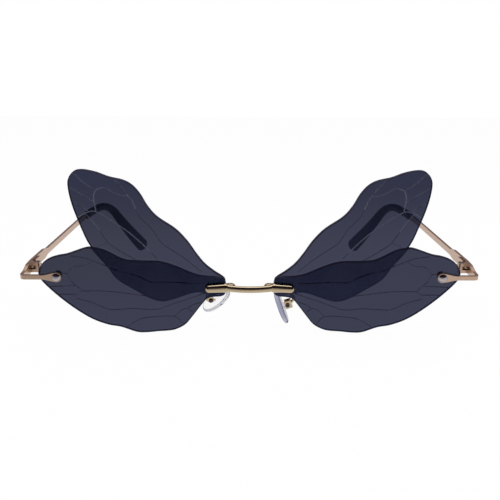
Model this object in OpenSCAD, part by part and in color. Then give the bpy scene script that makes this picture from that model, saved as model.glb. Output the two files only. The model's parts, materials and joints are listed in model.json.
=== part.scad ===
// Dragonfly wing sunglasses: a rimless frame that clamps four flat wing-shaped lens sheets.
// Lens frame: x across the face, y back from the front of the lenses, z up along the lenses,
// with the origin in the middle of the nose gap.
// Temple frame: the same x, y back along the temples, z up from the middle of the hinges.
// Every right-hand piece is drawn for +x, and its left-hand twin is its mirror image.

/* [Lens sheets] */
// Thickness of one tinted sheet
sheet_t = 1.8; // [1.4:0.1:2.4]
// Reach of a forewing from its root to its outermost point
fore_reach = 50.5; // [44:0.5:56]
// Height of a forewing above the middle of the nose gap
fore_rise = 40; // [36:0.5:46]
// Reach of a hindwing from its root to its outermost point
hind_reach = 62; // [58:0.5:66]
// Depth of a hindwing below the middle of the nose gap
hind_drop = 16.2; // [14:0.2:19]
// Width of the nose gap between the lens roots
nose_gap = 16; // [14:0.5:19]
// Width of an engraved vein line
vein_w = 0.3; // [0.2:0.05:0.5]
// Depth of an engraved vein line
vein_depth = 0.12; // [0.05:0.01:0.25]

/* [Bridge] */
// Diameter of the bar over the nose
bar_d = 2.2; // [1.6:0.1:2.6]
// How far the bar bows forward of the pods
bar_bow = 1.4; // [0.8:0.1:2.4]
// Height of the bar above the middle of the nose gap
bar_z = 0.6; // [0:0.1:1.5]
// Length of a pod over the lens root
pod_len = 7; // [6.8:0.1:9]
// Diameter of a pod at its inner end
pod_d = 3; // [2.6:0.1:3.4]
// Diameter of a pod at its rounded outer end
pod_end_d = 2.7; // [2:0.1:2.9]
// How far a pod runs past the lens root towards the nose
pod_lap = 0.1; // [0:0.1:1.4]
// Droop of a pod towards its outer end
pod_droop = 3.3; // [0:0.1:6]
// Distance from the pod axis to the front of the lenses
pod_stand = 0.7; // [0.4:0.1:1]

/* [Lens studs and screws] */
// Diameter of a stud or lens screw
stud_d = 1.2; // [1:0.05:1.4]
// Distance from the lens root to the first stud
stud_in = 2; // [1.8:0.1:2.6]
// Distance between the two studs of a pod
stud_pitch = 3.2; // [3:0.1:3.6]
// Wall of the clear bushing in a lens hole
bush_wall = 0.3; // [0.2:0.05:0.4]
// Diameter of a washer
washer_d = 2.6; // [2.4:0.1:2.9]
// Thickness of a washer
washer_t = 0.3; // [0.2:0.05:0.5]
// Width of a cap nut across its flats
nut_w = 2.2; // [1.9:0.1:2.4]
// Height of the straight part of a cap nut
nut_h = 1; // [0.8:0.1:1.4]
// Diameter of the domed head of a lens screw
dome_d = 3; // [2.4:0.1:3.2]
// Height of the domed head
dome_h = 0.9; // [0.6:0.1:1.2]
// Radial gap between a stud, its bushing, its washer and its nut
stud_fit = 0.04; // [0.02:0.01:0.08]

/* [Endpieces] */
// Height of the front bar
end_h = 1.4; // [1.1:0.1:2]
// Thickness of the bar and of the leg behind it
end_t = 1.2; // [0.9:0.1:1.5]
// Diameter of the eye round the lens screw
eye_d = 3.3; // [2.8:0.1:3.6]
// Height of the endpieces above the middle of the nose gap
end_z = 4.4; // [3.6:0.1:5.4]
// Distance from the hindwing's outermost point in to the lens screw
eye_in = 6.1; // [5:0.1:8]
// Distance from the hindwing's outermost point out to the side of the endpiece
end_out = 6.1; // [5:0.1:7]
// Outer radius of the corner
corner_r = 1.8; // [1.6:0.1:2.4]
// Distance from the front of the lenses back to the end of the leg
leg_end = 12; // [11:0.5:15]
// Tilt of the lenses to the temples, tops forward
face_tilt = 2.7; // [0:0.1:8]

/* [Hinges] */
// Height of the three knuckles together, and of the leg and temple beside them
hinge_h = 3.5; // [3.2:0.1:4.2]
// Diameter of a knuckle
knuckle_d = 2.4; // [2:0.1:2.8]
// Share of the height that the middle knuckle takes
knuckle_mid = 1.2; // [1:0.1:1.5]
// Gap between two knuckles
knuckle_gap = 0.05; // [0.03:0.01:0.1]
// Distance from the side of the frame in to the hinge axis
hinge_in = 3.1; // [2.8:0.1:3.6]
// Distance from the end of the leg forward to the hinge axis
hinge_fwd = 1.7; // [1.5:0.1:2]
// Diameter of the hinge screw
pin_d = 1.1; // [0.9:0.05:1.3]
// Radial gap between the hinge screw and the knuckles
pin_fit = 0.03; // [0.02:0.01:0.08]
// Gap between the leg and the front end of the open temple
stop_gap = 0.1; // [0.05:0.05:0.2]
// Diameter of the hinge screw's head, sunk in the top knuckle
pin_head_d = 1.8; // [1.5:0.05:1.9]
// Height of the hinge screw's head
pin_head_h = 0.4; // [0.3:0.05:0.5]

/* [Temples] */
// Thickness of the metal strip
temple_t = 1; // [0.8:0.1:1.2]
// Height of the strip behind its wide front part
temple_h = 2.1; // [1.8:0.1:2.8]
// Length of the wide front part
wide_len = 12; // [8:0.5:18]
// Length of the taper behind the wide part
taper_len = 5; // [3:0.5:8]
// Toe-in of the temple towards the head
toe_in = 4.3; // [0:0.1:6]
// Distance from the front of the lenses back to the bend over the ear
bend_at = 93.5; // [88:0.5:100]
// Radius of the bend
bend_r = 22; // [14:1:26]
// Angle of the bend
bend_deg = 47.5; // [38:0.5:52]
// Length of the straight drop behind the bend
drop_len = 31; // [24:1:34]
// How far the end of the tip curls in from the line of the temple
curl_in = 14.2; // [6:0.2:16]
// Distance from the front of the lenses back to where the curl starts
curl_at = 72; // [66:1:80]

/* [Temple tips] */
// Distance from the front of the lenses back to the start of the sleeve
tip_at = 80; // [70:1:86]
// Height of the sleeve at its start
tip_h = 3.3; // [3:0.1:4]
// Height of the paddle at the end of the sleeve
paddle_h = 6; // [5:0.1:8]
// Thickness of the sleeve
tip_t = 2.9; // [2.4:0.1:3.6]
// Height of the core wire inside the sleeve
core_h = 1.4; // [1.2:0.1:1.8]
// Length of solid sleeve past the end of the core wire
tip_solid = 8; // [4:1:14]
// Gap between the core wire and the sleeve on each side
core_fit = 0.04; // [0.02:0.01:0.08]

/* [Nose pads] */
// Length of a pad
pad_len = 13.2; // [11:0.1:15]
// Width of a pad
pad_w = 7.6; // [7:0.1:9]
// Thickness of a pad
pad_t = 2.1; // [2:0.1:3.4]
// Distance from the pad screw down to the middle of the pad
pad_low = 0; // [0:0.1:3]
// Distance from the middle of the face out to the pad screw
pad_x = 13.2; // [12:0.1:15]
// Distance from the front of the lenses back to the pad screw
pad_y = 7.5; // [7.4:0.1:9.5]
// Distance from the middle of the nose gap down to the left pad screw
left_drop = 6.2; // [5.8:0.1:7]
// Distance from the middle of the nose gap down to the right pad screw
right_drop = 8.7; // [8:0.1:9.5]
// Splay of the left pad, front edges together
left_splay = 26; // [20:1:30]
// Splay of the right pad, front edges together
right_splay = 1; // [0:1:12]
// Lean of the left pad, tops together
left_lean = 39; // [34:1:42]
// Lean of the right pad, tops together
right_lean = 20; // [14:1:26]
// Turn of the left pad in its own plane
left_turn = 43; // [36:1:46]
// Turn of the right pad in its own plane
right_turn = -4; // [-8:1:8]
// Diameter of the pad arm wire
arm_d = 1; // [0.8:0.05:1.2]
// Distance from the middle of the face to the foot of a pad arm
arm_x = 5.2; // [4:0.1:5.6]
// Wall of the pad box
box_wall = 0.5; // [0.4:0.05:0.7]
// Width of the pad box
box_w = 3; // [2.7:0.1:3.4]
// Diameter of the pad screw
pad_pin_d = 0.8; // [0.7:0.05:0.9]
// Gap on each side of the tab in its box
tab_gap = 0.1; // [0.05:0.05:0.2]
// Gap between the pad box and the back of the pad
pad_gap = 0.6; // [0.5:0.05:0.8]

/* [Hidden] */
$fn = 64;
gold = [0.80, 0.71, 0.56];
rose_gold = [0.76, 0.65, 0.56];
silver = [0.78, 0.77, 0.79];
smoke = [0.22, 0.23, 0.31, 0.75];
tip_black = [0.06, 0.06, 0.07];
clear = [0.86, 0.87, 0.93, 0.6];

// Forewing outline, out from the root and up, with its first points at the root
fore_points = [
    [0.3, -2], [0, 0], [0.2, 1.9], [1, 3.3], [4, 5.4], [7, 8], [9.6, 11.4], [12.5, 15.8],
    [16.3, 20], [22, 24.1], [25, 27.7], [27.2, 31.7], [29.6, 34.6], [32.5, 36.3], [37, 37.4],
    [41, 38.9], [45, 39.7], [47.6, 39.3], [49.4, 37.4], [50, 34.5], [49.2, 28.7], [47, 21.3],
    [44.2, 14.3], [39, 7.3], [35.8, 2.7], [30, -1.2], [25, -4.2], [21, -5.2], [17, -4.2],
    [10, -1.9], [4, -2.6]
];
// Hindwing outline, in the same way
hind_points = [
    [0, -1], [0, 1], [0.3, 3.3], [1.5, 4], [6, 4.1], [10, 4.8], [16, 7.4], [19.5, 8.7],
    [23, 9.4], [30, 9.6], [34, 10.2], [40, 13.3], [43.5, 14.2], [46, 14.2], [52, 12.1],
    [55, 11.5], [58, 10.5], [60.3, 8.9], [61.7, 6.8], [62, 4.7], [61.2, 2.9], [59, 0.2],
    [55, -3.8], [50, -8], [45, -11.3], [40, -13.3], [35.5, -14.2], [30.5, -16], [27, -16.2],
    [23, -15.8], [18.5, -15.4], [15.7, -14.4], [13.5, -12.9], [11.5, -10.4], [7.3, -4.7],
    [5.8, -3.4], [4, -3], [1.8, -2.8], [0.5, -2.2]
];
// Height of the hindwing above the nose gap, and depth of the forewing below it
hind_rise = 14.2;
fore_drop = 5.2;

// Veins of the forewing in front of the hindwing's edge, in the same way
fore_veins = [
    // Leading vein and the arch behind it
    [[47.5, 38.4], [45, 35.8], [41.3, 33.1]],
    [[41.3, 33.1], [39.3, 33.9], [37.8, 33.8], [35.9, 32.6], [33.5, 31.5], [31.1, 31.2]],
    // Long vein down to the root
    [[34.9, 36.4], [32.9, 34.1], [31.3, 31.7], [29.9, 29.8], [28.8, 27], [27, 23.6],
     [24.1, 20.7], [22.3, 17.8], [20.6, 15.2], [17.7, 13.1], [12.7, 9.5], [8.1, 5.4]],
    // Two branches from the outer edge, and the cross vein that ties them
    [[49.7, 34.5], [45.8, 31.8], [42, 29.3]],
    [[49.1, 29.9], [44.2, 26.4]],
    [[41.3, 33.1], [41.9, 31.2], [41.9, 29.3], [41.5, 26.4]],
    // Middle vein, curving in from the edge
    [[47.3, 24.1], [45.3, 25.4], [43.7, 26], [42.2, 26.2], [40.3, 25.4], [36.5, 22.8],
     [32.4, 19.9], [28.3, 16.2], [24.5, 12.2], [22.6, 10.1]],
    // Lower vein and its fork
    [[44.8, 25.2], [42.7, 22.5], [40.7, 19.6], [38.3, 15.7], [35, 13], [31.6, 10.8]],
    [[38.3, 15.7], [41.8, 14.1]]
];
// Veins of the hindwing
hind_veins = [
    // Upper vein from the tip to the root
    [[51, 11.6], [46.7, 11], [43.8, 10], [42.5, 9.4], [38.6, 7.7], [36.3, 6.6], [31.3, 5.3],
     [28, 4], [24.7, 2.4], [19.6, 2.4], [14.5, 2.2]],
    // Round cell at the tip
    [[43.8, 9.9], [46.6, 8.3], [49.6, 8], [51.4, 6.9], [52, 5.6]],
    [[54.2, 5.6], [52.4, 5.1], [51.1, 2.5], [48.1, -0.4]],
    // Middle vein
    [[51.3, -5.6], [50.5, -3], [49.3, -1.7], [48.1, -1], [43.5, -0.8], [37.7, -1.1],
     [31.6, -1.9], [26.9, -2.6]],
    // Lower vein to the root, with two ticks to the edge
    [[49.8, -3.6], [44.8, -5.1], [39.5, -7.5], [35.4, -7.5], [30.5, -7.2], [25.7, -7.6],
     [22.3, -7.3], [18.1, -5.6], [12.9, -3.7], [7.1, -1.6]],
    [[44.8, -5.1], [46, -8.6]],
    [[39.5, -7.5], [40.2, -11.2]],
    // Hem veins along the bottom edge
    [[33.2, -13.7], [29.3, -11.3], [25.2, -10.3], [17.6, -10.1], [14.7, -12.6]],
    [[17.6, -10.1], [15.1, -7.8], [13, -7.2], [11.3, -8.4]],
    [[13, -7.2], [10.9, -5.7], [8.6, -5]],
    // Two bars at the tip
    [[58.2, 0.7], [50.2, 1.1]],
    [[55.4, -2.1], [50.3, -2.1]]
];
curve_steps = 5;
vein_steps = 3;

// Lens stack and front
root_x = nose_gap / 2;
stack_t = 2 * sheet_t;
side_x = root_x + hind_reach + end_out;
eye_x = root_x + hind_reach - eye_in;
bush_d = stud_d + 2 * stud_fit + 2 * bush_wall;
hole_d = bush_d + 2 * stud_fit;
nut_bore = stud_d + 2 * stud_fit;
stud_xs = [stud_in, stud_in + stud_pitch];
thread_depth = nut_h * 0.9;

// Bridge bar: an arc through both pods, bowed forward
pod_in_x = root_x - pod_lap;
bar_r = (pow(pod_in_x, 2) + pow(bar_bow, 2)) / (2 * bar_bow);
bar_half = asin(pod_in_x / bar_r);
bar_cy = -pod_stand - bar_bow + bar_r;
solder_y = 0.2;

// Hinge and temple, in the temple frame
hinge_x = side_x - hinge_in;
hinge_y = leg_end - hinge_fwd;
knuckle_end = (hinge_h - knuckle_mid) / 2 - knuckle_gap;
knuckle_web_y = knuckle_d / 2;
slot_w = 0.3;
temple_y = leg_end + stop_gap;
bend_len = bend_r * bend_deg * PI / 180;
line_len = bend_at - temple_y + bend_len + drop_len;
tip_s = tip_at - temple_y;
core_s = line_len - tip_solid;
end_y = line_at(line_len)[0];
curl_k = curl_in / pow(end_y - curl_at, 2);

// Pad and its box, in the pad frame
tab_w = box_w - 2 * box_wall - 2 * tab_gap;
box_h = 2.6;
box_half = 1;
pad_back = box_half + pad_gap;
insert_d = 3.4;
insert_t = 0.7;
insert_fit = 0.04;
pad_pin_fit = 0.03;

// Smooth step from 0 to 1
function ease(t) = let (c = max(0, min(1, t))) c * c * (3 - 2 * c);
function mix(a, b, t) = a + (b - a) * t;
function unit(v) = v / norm(v);

// One point of a Catmull-Rom curve between b and c
function curve_point(a, b, c, d, t) =
    0.5 * ((2 * b) + (c - a) * t + (2 * a - 5 * b + 4 * c - d) * t * t
    + (3 * b - a - 3 * c + d) * t * t * t);

// Closed smooth outline through the points
function closed_curve(p, steps) = let (n = len(p)) [
    for (i = [0 : n - 1], k = [0 : steps - 1])
        curve_point(p[(i + n - 1) % n], p[i], p[(i + 1) % n], p[(i + 2) % n], k / steps)
];

// Open smooth line through the points
function open_curve(p, steps) = let (n = len(p)) [
    for (i = [0 : n - 2], k = [0 : steps - 1])
        curve_point(p[max(0, i - 1)], p[i], p[i + 1], p[min(n - 1, i + 2)], k / steps),
    p[n - 1]
];

// Factors that bring the points of a wing to its reach, its height and its depth
function wing_scale(points, reach, up, low) = [
    reach / max([for (p = points) p[0]]),
    up / max([for (p = points) p[1]]),
    -low / min([for (p = points) p[1]])
];
function wing_place(points, k) =
    [for (p = points) [root_x + p[0] * k[0], p[1] * (p[1] > 0 ? k[1] : k[2])]];

fore_scale = wing_scale(fore_points, fore_reach, fore_rise, fore_drop);
hind_scale = wing_scale(hind_points, hind_reach, hind_rise, hind_drop);
fore_outline = closed_curve(wing_place(fore_points, fore_scale), curve_steps);
hind_outline = closed_curve(wing_place(hind_points, hind_scale), curve_steps);
hind_low = -min([for (p = hind_outline) p[1]]);
fore_top = max([for (p = fore_outline) p[1]]);

// Centre line of a temple in side view: [y, z, slope] at the distance s from its front end
function line_at(s) = let (
    straight = bend_at - temple_y,
    a = max(0, min(bend_deg, (s - straight) / bend_r * 180 / PI)),
    past = max(0, s - straight - bend_len)
) [
    temple_y + min(s, straight) + bend_r * sin(a) + past * cos(bend_deg),
    -bend_r * (1 - cos(a)) - past * sin(bend_deg),
    a
];

// Side of the temple in plan view: x of its outer face at y
function temple_x(y) =
    side_x - (y - temple_y) * tan(toe_in) - curl_k * pow(max(0, y - curl_at), 2);

// Point beside the centre line: h up across it and b out from the middle of the strip
function beside(s, h, b) = let (
    c = line_at(s),
    y = c[0] + h * sin(c[2]),
    z = c[1] + h * cos(c[2])
) [temple_x(y) - temple_t / 2 + b, y, z];

// Sleeve: half height and half thickness at s, with a rounded lip and a rounded end
paddle_s = line_len - paddle_h / 2;
function tip_round(s) = sqrt(max(0.02, 1 - pow(max(0, s - paddle_s) / (line_len - paddle_s + 0.01), 2)));
function tip_lip(s) = mix(0.8, 1, ease((s - tip_s) / 1));
function tip_half_h(s) = let (t = (s - tip_s) / (line_len - tip_s))
    mix(tip_h, paddle_h, ease((t - 0.35) / 0.65)) / 2 * tip_round(s) * tip_lip(s);
function tip_half_t(s) = tip_t / 2 * tip_lip(s) * mix(1, tip_round(s), 0.75);

ring_sides = 16;
ring_angles = [for (k = [0 : ring_sides - 1]) k * 360 / ring_sides];
function oval_ring(s) = [
    for (a = ring_angles) beside(s,
        tip_half_h(s) * sign(sin(a)) * pow(abs(sin(a)), 0.8),
        tip_half_t(s) * sign(cos(a)) * pow(abs(cos(a)), 0.8))
];
function clamp1(v) = max(-1, min(1, v * sqrt(2)));
function bore_ring(s) = [
    for (a = ring_angles) beside(s,
        (core_h / 2 + core_fit) * clamp1(sin(a)),
        (temple_t / 2 + core_fit) * clamp1(cos(a)))
];
// Distances along the core wire, close together in the bend
bend_s = bend_at - temple_y;
core_stations = [
    for (k = [1 : 4]) mix(tip_s, bend_s, k / 4),
    for (k = [1 : 9]) bend_s + bend_len * k / 9,
    for (k = [1 : 6]) mix(bend_s + bend_len, core_s, k / 6)
];
tip_stations = [
    tip_s, tip_s + 0.4, tip_s + 1,
    each core_stations,
    (core_s + paddle_s) / 2,
    for (k = [0 : 5]) mix(paddle_s, line_len, sin(k * 18))
];
bore_stations = concat(
    [core_s + 0.2],
    [for (k = [len(core_stations) - 1 : -1 : 0]) core_stations[k]],
    [tip_s]
);

// Rest: the lens bottoms and both tip ends stand on the same level
tip_under = [for (s = tip_stations) to_lens_frame(beside(s, -tip_half_h(s), 0))];
rest_lean = max([for (p = tip_under) atan2(-hind_low - p[2], p[1])]);
function to_lens_frame(p) = [
    p[0],
    p[1] * cos(face_tilt) + p[2] * sin(face_tilt),
    -p[1] * sin(face_tilt) + p[2] * cos(face_tilt) + end_z
];
function standing_y(y, z) = y * cos(rest_lean) - z * sin(rest_lean);
front_y = min(
    standing_y(sheet_t, fore_top),
    standing_y(-pod_stand - bar_bow - bar_d / 2, bar_z)
);
back_y = max([
    for (s = tip_stations, k = [-1, 0, 1])
        let (p = to_lens_frame(beside(s, k * tip_half_h(s), 0))) standing_y(p[1], p[2])
]);
stand_y = -(front_y + back_y) / 2;
stand_z = hind_low * cos(rest_lean);

// Lens frame set down at rest, with the origin under the middle of the part
module stand() {
    translate([0, stand_y, stand_z]) rotate([rest_lean, 0, 0]) children();
}

module temple_frame() {
    translate([0, 0, end_z]) rotate([-face_tilt, 0, 0]) children();
}

module left() {
    mirror([1, 0, 0]) children();
}

module both_sides() {
    children();
    left() children();
}

// Outline in x and z, given its thickness in y from y0
module slab(y0, t) {
    translate([0, y0 + t, 0]) rotate([90, 0, 0]) linear_extrude(t) children();
}

// Round bar along y
module rod(d, y0, y1) {
    translate([0, y0, 0]) rotate([-90, 0, 0]) cylinder(d = d, h = y1 - y0);
}

// Skin over a list of rings with the same number of points, closed at both ends
module loft(rings) {
    n = len(rings[0]);
    m = len(rings);
    polyhedron(
        points = [for (r = rings, p = r) p],
        faces = [
            [for (k = [0 : n - 1]) k],
            for (i = [0 : m - 2], k = [0 : n - 1]) each let (j = (k + 1) % n) [
                [i * n + k, (i + 1) * n + k, (i + 1) * n + j],
                [i * n + k, (i + 1) * n + j, i * n + j]
            ],
            [for (k = [n - 1 : -1 : 0]) (m - 1) * n + k]
        ]
    );
}

// Pod studs, at the places where they pass through the lens root
module at_studs() {
    for (x = stud_xs)
        translate([root_x + x, 0, bar_z - (x + pod_lap) * tan(pod_droop)]) children();
}

// Half profile of a pod, turned round its axis
module pod() {
    r_in = pod_d / 2;
    r_out = pod_end_d / 2;
    straight = pod_len + pod_lap - r_out;
    profile = [
        [0, -1], [bar_d / 2, -1], [r_in, 0], [r_out, straight],
        for (a = [15 : 15 : 75]) [r_out * cos(a), straight + r_out * sin(a)],
        [0, straight + r_out]
    ];
    difference() {
        translate([pod_in_x, -pod_stand, bar_z]) rotate([0, pod_droop, 0])
            rotate([0, 90, 0]) rotate_extrude() polygon(profile);
        translate([0, 0, -5]) cube([root_x + pod_len + 5, 5, 10]);
    }
}

module bridge() {
    color(gold) union() {
        translate([0, bar_cy, bar_z])
            rotate_extrude(angle = 2 * bar_half, start = 270 - bar_half)
                translate([bar_r, 0]) circle(d = bar_d);
        both_sides() {
            pod();
            at_studs() rod(stud_d, -pod_stand, stack_t + washer_t + thread_depth);
            translate([arm_x, 0, bar_z]) rod(arm_d + 0.2, -pod_stand - bar_bow / 2, solder_y);
        }
    }
}

module tube(d_out, d_in, y0, y1) {
    difference() {
        rod(d_out, y0, y1);
        rod(d_in, y0 - 1, y1 + 1);
    }
}

// Hexagon cap nut with a blind bore
module cap_nut(y0) {
    difference() {
        union() {
            translate([0, y0, 0]) rotate([-90, 0, 0])
                cylinder(d = nut_w / cos(30), h = nut_h, $fn = 6);
            translate([0, y0 + nut_h, 0]) intersection() {
                translate([0, -nut_w * 0.1, 0]) sphere(d = nut_w);
                rod(nut_w + 1, -0.01, nut_w);
            }
        }
        rod(nut_bore, y0 - 1, y0 + thread_depth + 0.05);
    }
}

module stud_bushings() {
    color(clear) both_sides() at_studs() tube(bush_d, nut_bore, 0, stack_t);
}

module stud_washers() {
    color(silver) both_sides() at_studs() tube(washer_d, nut_bore, stack_t, stack_t + washer_t);
}

module stud_nuts() {
    color(gold) both_sides() at_studs() cap_nut(stack_t + washer_t);
}

// Engraved line of even width along a vein, with its ends square
module vein(points) {
    line = open_curve(points, vein_steps);
    n = len(line);
    side = [
        for (i = [0 : n - 1])
            let (t = unit(line[min(n - 1, i + 1)] - line[max(0, i - 1)])) [-t[1], t[0]] * vein_w / 2
    ];
    polygon(concat(line + side, [for (i = [n - 1 : -1 : 0]) line[i] - side[i]]));
}

// Cut the veins of a wing into a sheet whose front face is at y0
module engrave(veins, scale, y0) {
    difference() {
        children();
        for (v = veins) slab(y0 - 1, 1 + vein_depth) vein(wing_place(v, scale));
    }
}

// Front sheet: the hindwing, held at the bridge and at the endpiece
module hindwing() {
    color(smoke) engrave(hind_veins, hind_scale, 0) difference() {
        slab(0, sheet_t) polygon(hind_outline);
        at_studs() rod(hole_d, -1, sheet_t + 1);
        translate([eye_x, 0, end_z]) rod(hole_d, -1, sheet_t + 1);
    }
}

// Back sheet: the forewing, held at the bridge only
module forewing() {
    color(smoke) engrave(fore_veins, fore_scale, sheet_t) difference() {
        slab(sheet_t, sheet_t) polygon(fore_outline);
        at_studs() rod(hole_d, 0, stack_t + 1);
    }
}

// Side view of the leg: as high as the bar in front and as the hinge behind
leg_front = corner_r;
leg_profile = [
    for (t = [0 : 0.125 : 1])
        [mix(leg_front, hinge_y - knuckle_d, t), mix(end_h, hinge_h, ease(t)) / 2],
    [leg_end, hinge_h / 2]
];
leg_outline = concat(
    leg_profile,
    [for (k = [len(leg_profile) - 1 : -1 : 0]) [leg_profile[k][0], -leg_profile[k][1]]]
);

// Bar outline: a teardrop round the lens screw that runs into the straight bar
module bar_outline() {
    neck = 5;
    translate([eye_x, end_z]) union() {
        circle(d = eye_d);
        polygon(concat(
            [for (t = [0 : 0.25 : 1]) [neck * t, mix(eye_d * 0.96, end_h, ease(t)) / 2]],
            [[side_x - corner_r - eye_x, end_h / 2], [side_x - corner_r - eye_x, -end_h / 2]],
            [for (t = [1 : -0.25 : 0]) [neck * t, -mix(eye_d * 0.96, end_h, ease(t)) / 2]]
        ));
    }
}

module endpiece() {
    color(rose_gold) difference() {
        union() {
            slab(-end_t, end_t) bar_outline();
            translate([side_x - corner_r, corner_r - end_t, end_z])
                rotate_extrude(angle = 90, start = 270)
                    translate([corner_r - end_t, -end_h / 2]) square([end_t, end_h]);
            translate([side_x - end_t, corner_r - end_t - 0.01, end_z - end_h / 2])
                cube([end_t, end_t + 0.3, end_h]);
            temple_frame() {
                translate([side_x - end_t, 0, 0]) rotate([90, 0, 90])
                    linear_extrude(end_t) polygon(leg_outline);
                for (z = [-hinge_h / 2, hinge_h / 2 - knuckle_end]) translate([0, 0, z]) {
                    translate([hinge_x, hinge_y, 0]) cylinder(d = knuckle_d, h = knuckle_end);
                    translate([hinge_x, hinge_y - knuckle_web_y, 0])
                        cube([hinge_in - end_t + 0.2, knuckle_d * 0.8, knuckle_end]);
                }
            }
        }
        translate([eye_x, 0, end_z]) rod(nut_bore, -end_t - 1, 1);
        temple_frame() translate([hinge_x, hinge_y, 0]) {
            translate([0, 0, -hinge_h]) cylinder(d = pin_d + 2 * pin_fit, h = 2 * hinge_h);
            translate([0, 0, hinge_h / 2 - pin_head_h])
                cylinder(d = pin_head_d + 2 * pin_fit, h = hinge_h);
        }
    }
}

module lens_screw() {
    color(silver) translate([eye_x, 0, end_z]) union() {
        rod(stud_d, -end_t - 0.1, sheet_t + washer_t + thread_depth);
        dome_r = (pow(dome_d / 2, 2) + pow(dome_h, 2)) / (2 * dome_h);
        intersection() {
            translate([0, -end_t - dome_h + dome_r, 0]) sphere(r = dome_r);
            rod(dome_d + 1, -end_t - dome_h - 1, -end_t);
        }
    }
}

module lens_bushings() {
    color(clear) both_sides() translate([eye_x, 0, end_z]) tube(bush_d, nut_bore, 0, sheet_t);
}

module lens_washers() {
    color(silver) both_sides() translate([eye_x, 0, end_z])
        tube(washer_d, nut_bore, sheet_t, sheet_t + washer_t);
}

module lens_nuts() {
    color(silver) both_sides() translate([eye_x, 0, end_z]) cap_nut(sheet_t + washer_t);
}

// Screw of the hinge, down through all three knuckles
module hinge_screw() {
    color(silver) temple_frame() translate([hinge_x, hinge_y, 0]) difference() {
        union() {
            translate([0, 0, -hinge_h / 2]) cylinder(d = pin_d, h = hinge_h);
            translate([0, 0, hinge_h / 2 - pin_head_h]) cylinder(d = pin_head_d, h = pin_head_h);
        }
        translate([-pin_head_d, -slot_w / 2, hinge_h / 2 - pin_head_h / 2])
            cube([2 * pin_head_d, slot_w, pin_head_h]);
    }
}

// Metal temple: its side outline and its plan outline, each drawn through and both kept
// Each station of the strip: distance along it and height
strip_stations = [
    [0, hinge_h],
    for (k = [0 : 8]) [wide_len + taper_len * k / 8, mix(hinge_h, temple_h, ease(k / 8))],
    [tip_s - core_fit, temple_h],
    [tip_s - core_fit, core_h],
    for (s = core_stations) [s, core_h]
];
function strip_edge(side) = [
    for (q = strip_stations)
        let (c = line_at(q[0]), h = side * q[1] / 2)
            [c[0] + h * sin(c[2]), c[1] + h * cos(c[2])]
];
plan_ys = [temple_y, for (k = [0 : 24]) mix(curl_at, end_y + 4, k / 24)];

module strip() {
    top = strip_edge(1);
    bottom = strip_edge(-1);
    deep = bend_r + drop_len;
    intersection() {
        translate([side_x - 60, 0, 0]) rotate([90, 0, 90])
            linear_extrude(70) polygon(concat(
                top, [for (k = [len(bottom) - 1 : -1 : 0]) bottom[k]]
            ));
        translate([0, 0, -deep]) linear_extrude(deep + hinge_h) polygon(concat(
            [for (y = plan_ys) [temple_x(y), y]],
            [for (k = [len(plan_ys) - 1 : -1 : 0]) [temple_x(plan_ys[k]) - temple_t, plan_ys[k]]]
        ));
    }
}

module temple() {
    inner = side_x - temple_t;
    plate_t = 0.8;
    plate_y = temple_y + 1.2;
    plate_len = 4.5;
    color(rose_gold) temple_frame() difference() {
        union() {
            strip();
            // Hinge plate on the inner face
            translate([0, 0, -hinge_h * 0.42]) linear_extrude(hinge_h * 0.84) polygon([
                [inner + 0.1, plate_y], [inner - plate_t, plate_y],
                [temple_x(plate_y + plate_len) - temple_t - plate_t, plate_y + plate_len],
                [temple_x(plate_y + plate_len) - temple_t + 0.1, plate_y + plate_len]
            ]);
            // Arm of the middle knuckle
            translate([0, 0, -knuckle_mid / 2]) {
                translate([hinge_x, hinge_y, 0]) cylinder(d = knuckle_d, h = knuckle_mid);
                linear_extrude(knuckle_mid) polygon([
                    [hinge_x - knuckle_d / 2, hinge_y], [hinge_x + knuckle_d / 2, hinge_y],
                    [inner - 0.5, temple_y - 0.2], [inner - 0.3, plate_y + 0.5],
                    [inner - plate_t - 0.2, plate_y + 2], [hinge_x - knuckle_d / 2, hinge_y + 1.4]
                ]);
            }
        }
        translate([hinge_x, hinge_y, -hinge_h])
            cylinder(d = pin_d + 2 * pin_fit, h = 2 * hinge_h);
    }
}

module temple_tip() {
    color(tip_black) temple_frame() loft(concat(
        [for (s = bore_stations) bore_ring(s)],
        [for (s = tip_stations) oval_ring(s)]
    ));
}

// Pad frame: the pad screw along y, the box on +x and the contact face on -x
module pad_frame(splay, lean, turn, drop) {
    translate([pad_x, pad_y, -drop])
        rotate([0, 0, -splay]) rotate([0, -lean, 0]) rotate([turn, 0, 0]) children();
}

function turn_x(v, a) = [v[0], v[1] * cos(a) - v[2] * sin(a), v[1] * sin(a) + v[2] * cos(a)];
function turn_y(v, a) = [v[0] * cos(a) + v[2] * sin(a), v[1], -v[0] * sin(a) + v[2] * cos(a)];
function turn_z(v, a) = [v[0] * cos(a) - v[1] * sin(a), v[0] * sin(a) + v[1] * cos(a), v[2]];
function from_pad(v, splay, lean, turn, drop) =
    [pad_x, pad_y, -drop] + turn_z(turn_y(turn_x(v, turn), -lean), -splay);

// Rings of a wire of diameter d along a line
across = unit([-1, 1, 0]);
function wire_ring(p, t, d) = let (u = unit(cross(t, across)), v = cross(unit(t), u)) [
    for (a = [0 : 30 : 330]) p + d / 2 * (u * cos(a) + v * sin(a))
];
function wire_rings(p, d) = let (n = len(p)) [
    for (i = [0 : n - 1]) wire_ring(p[i], p[min(n - 1, i + 1)] - p[max(0, i - 1)], d)
];

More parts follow.
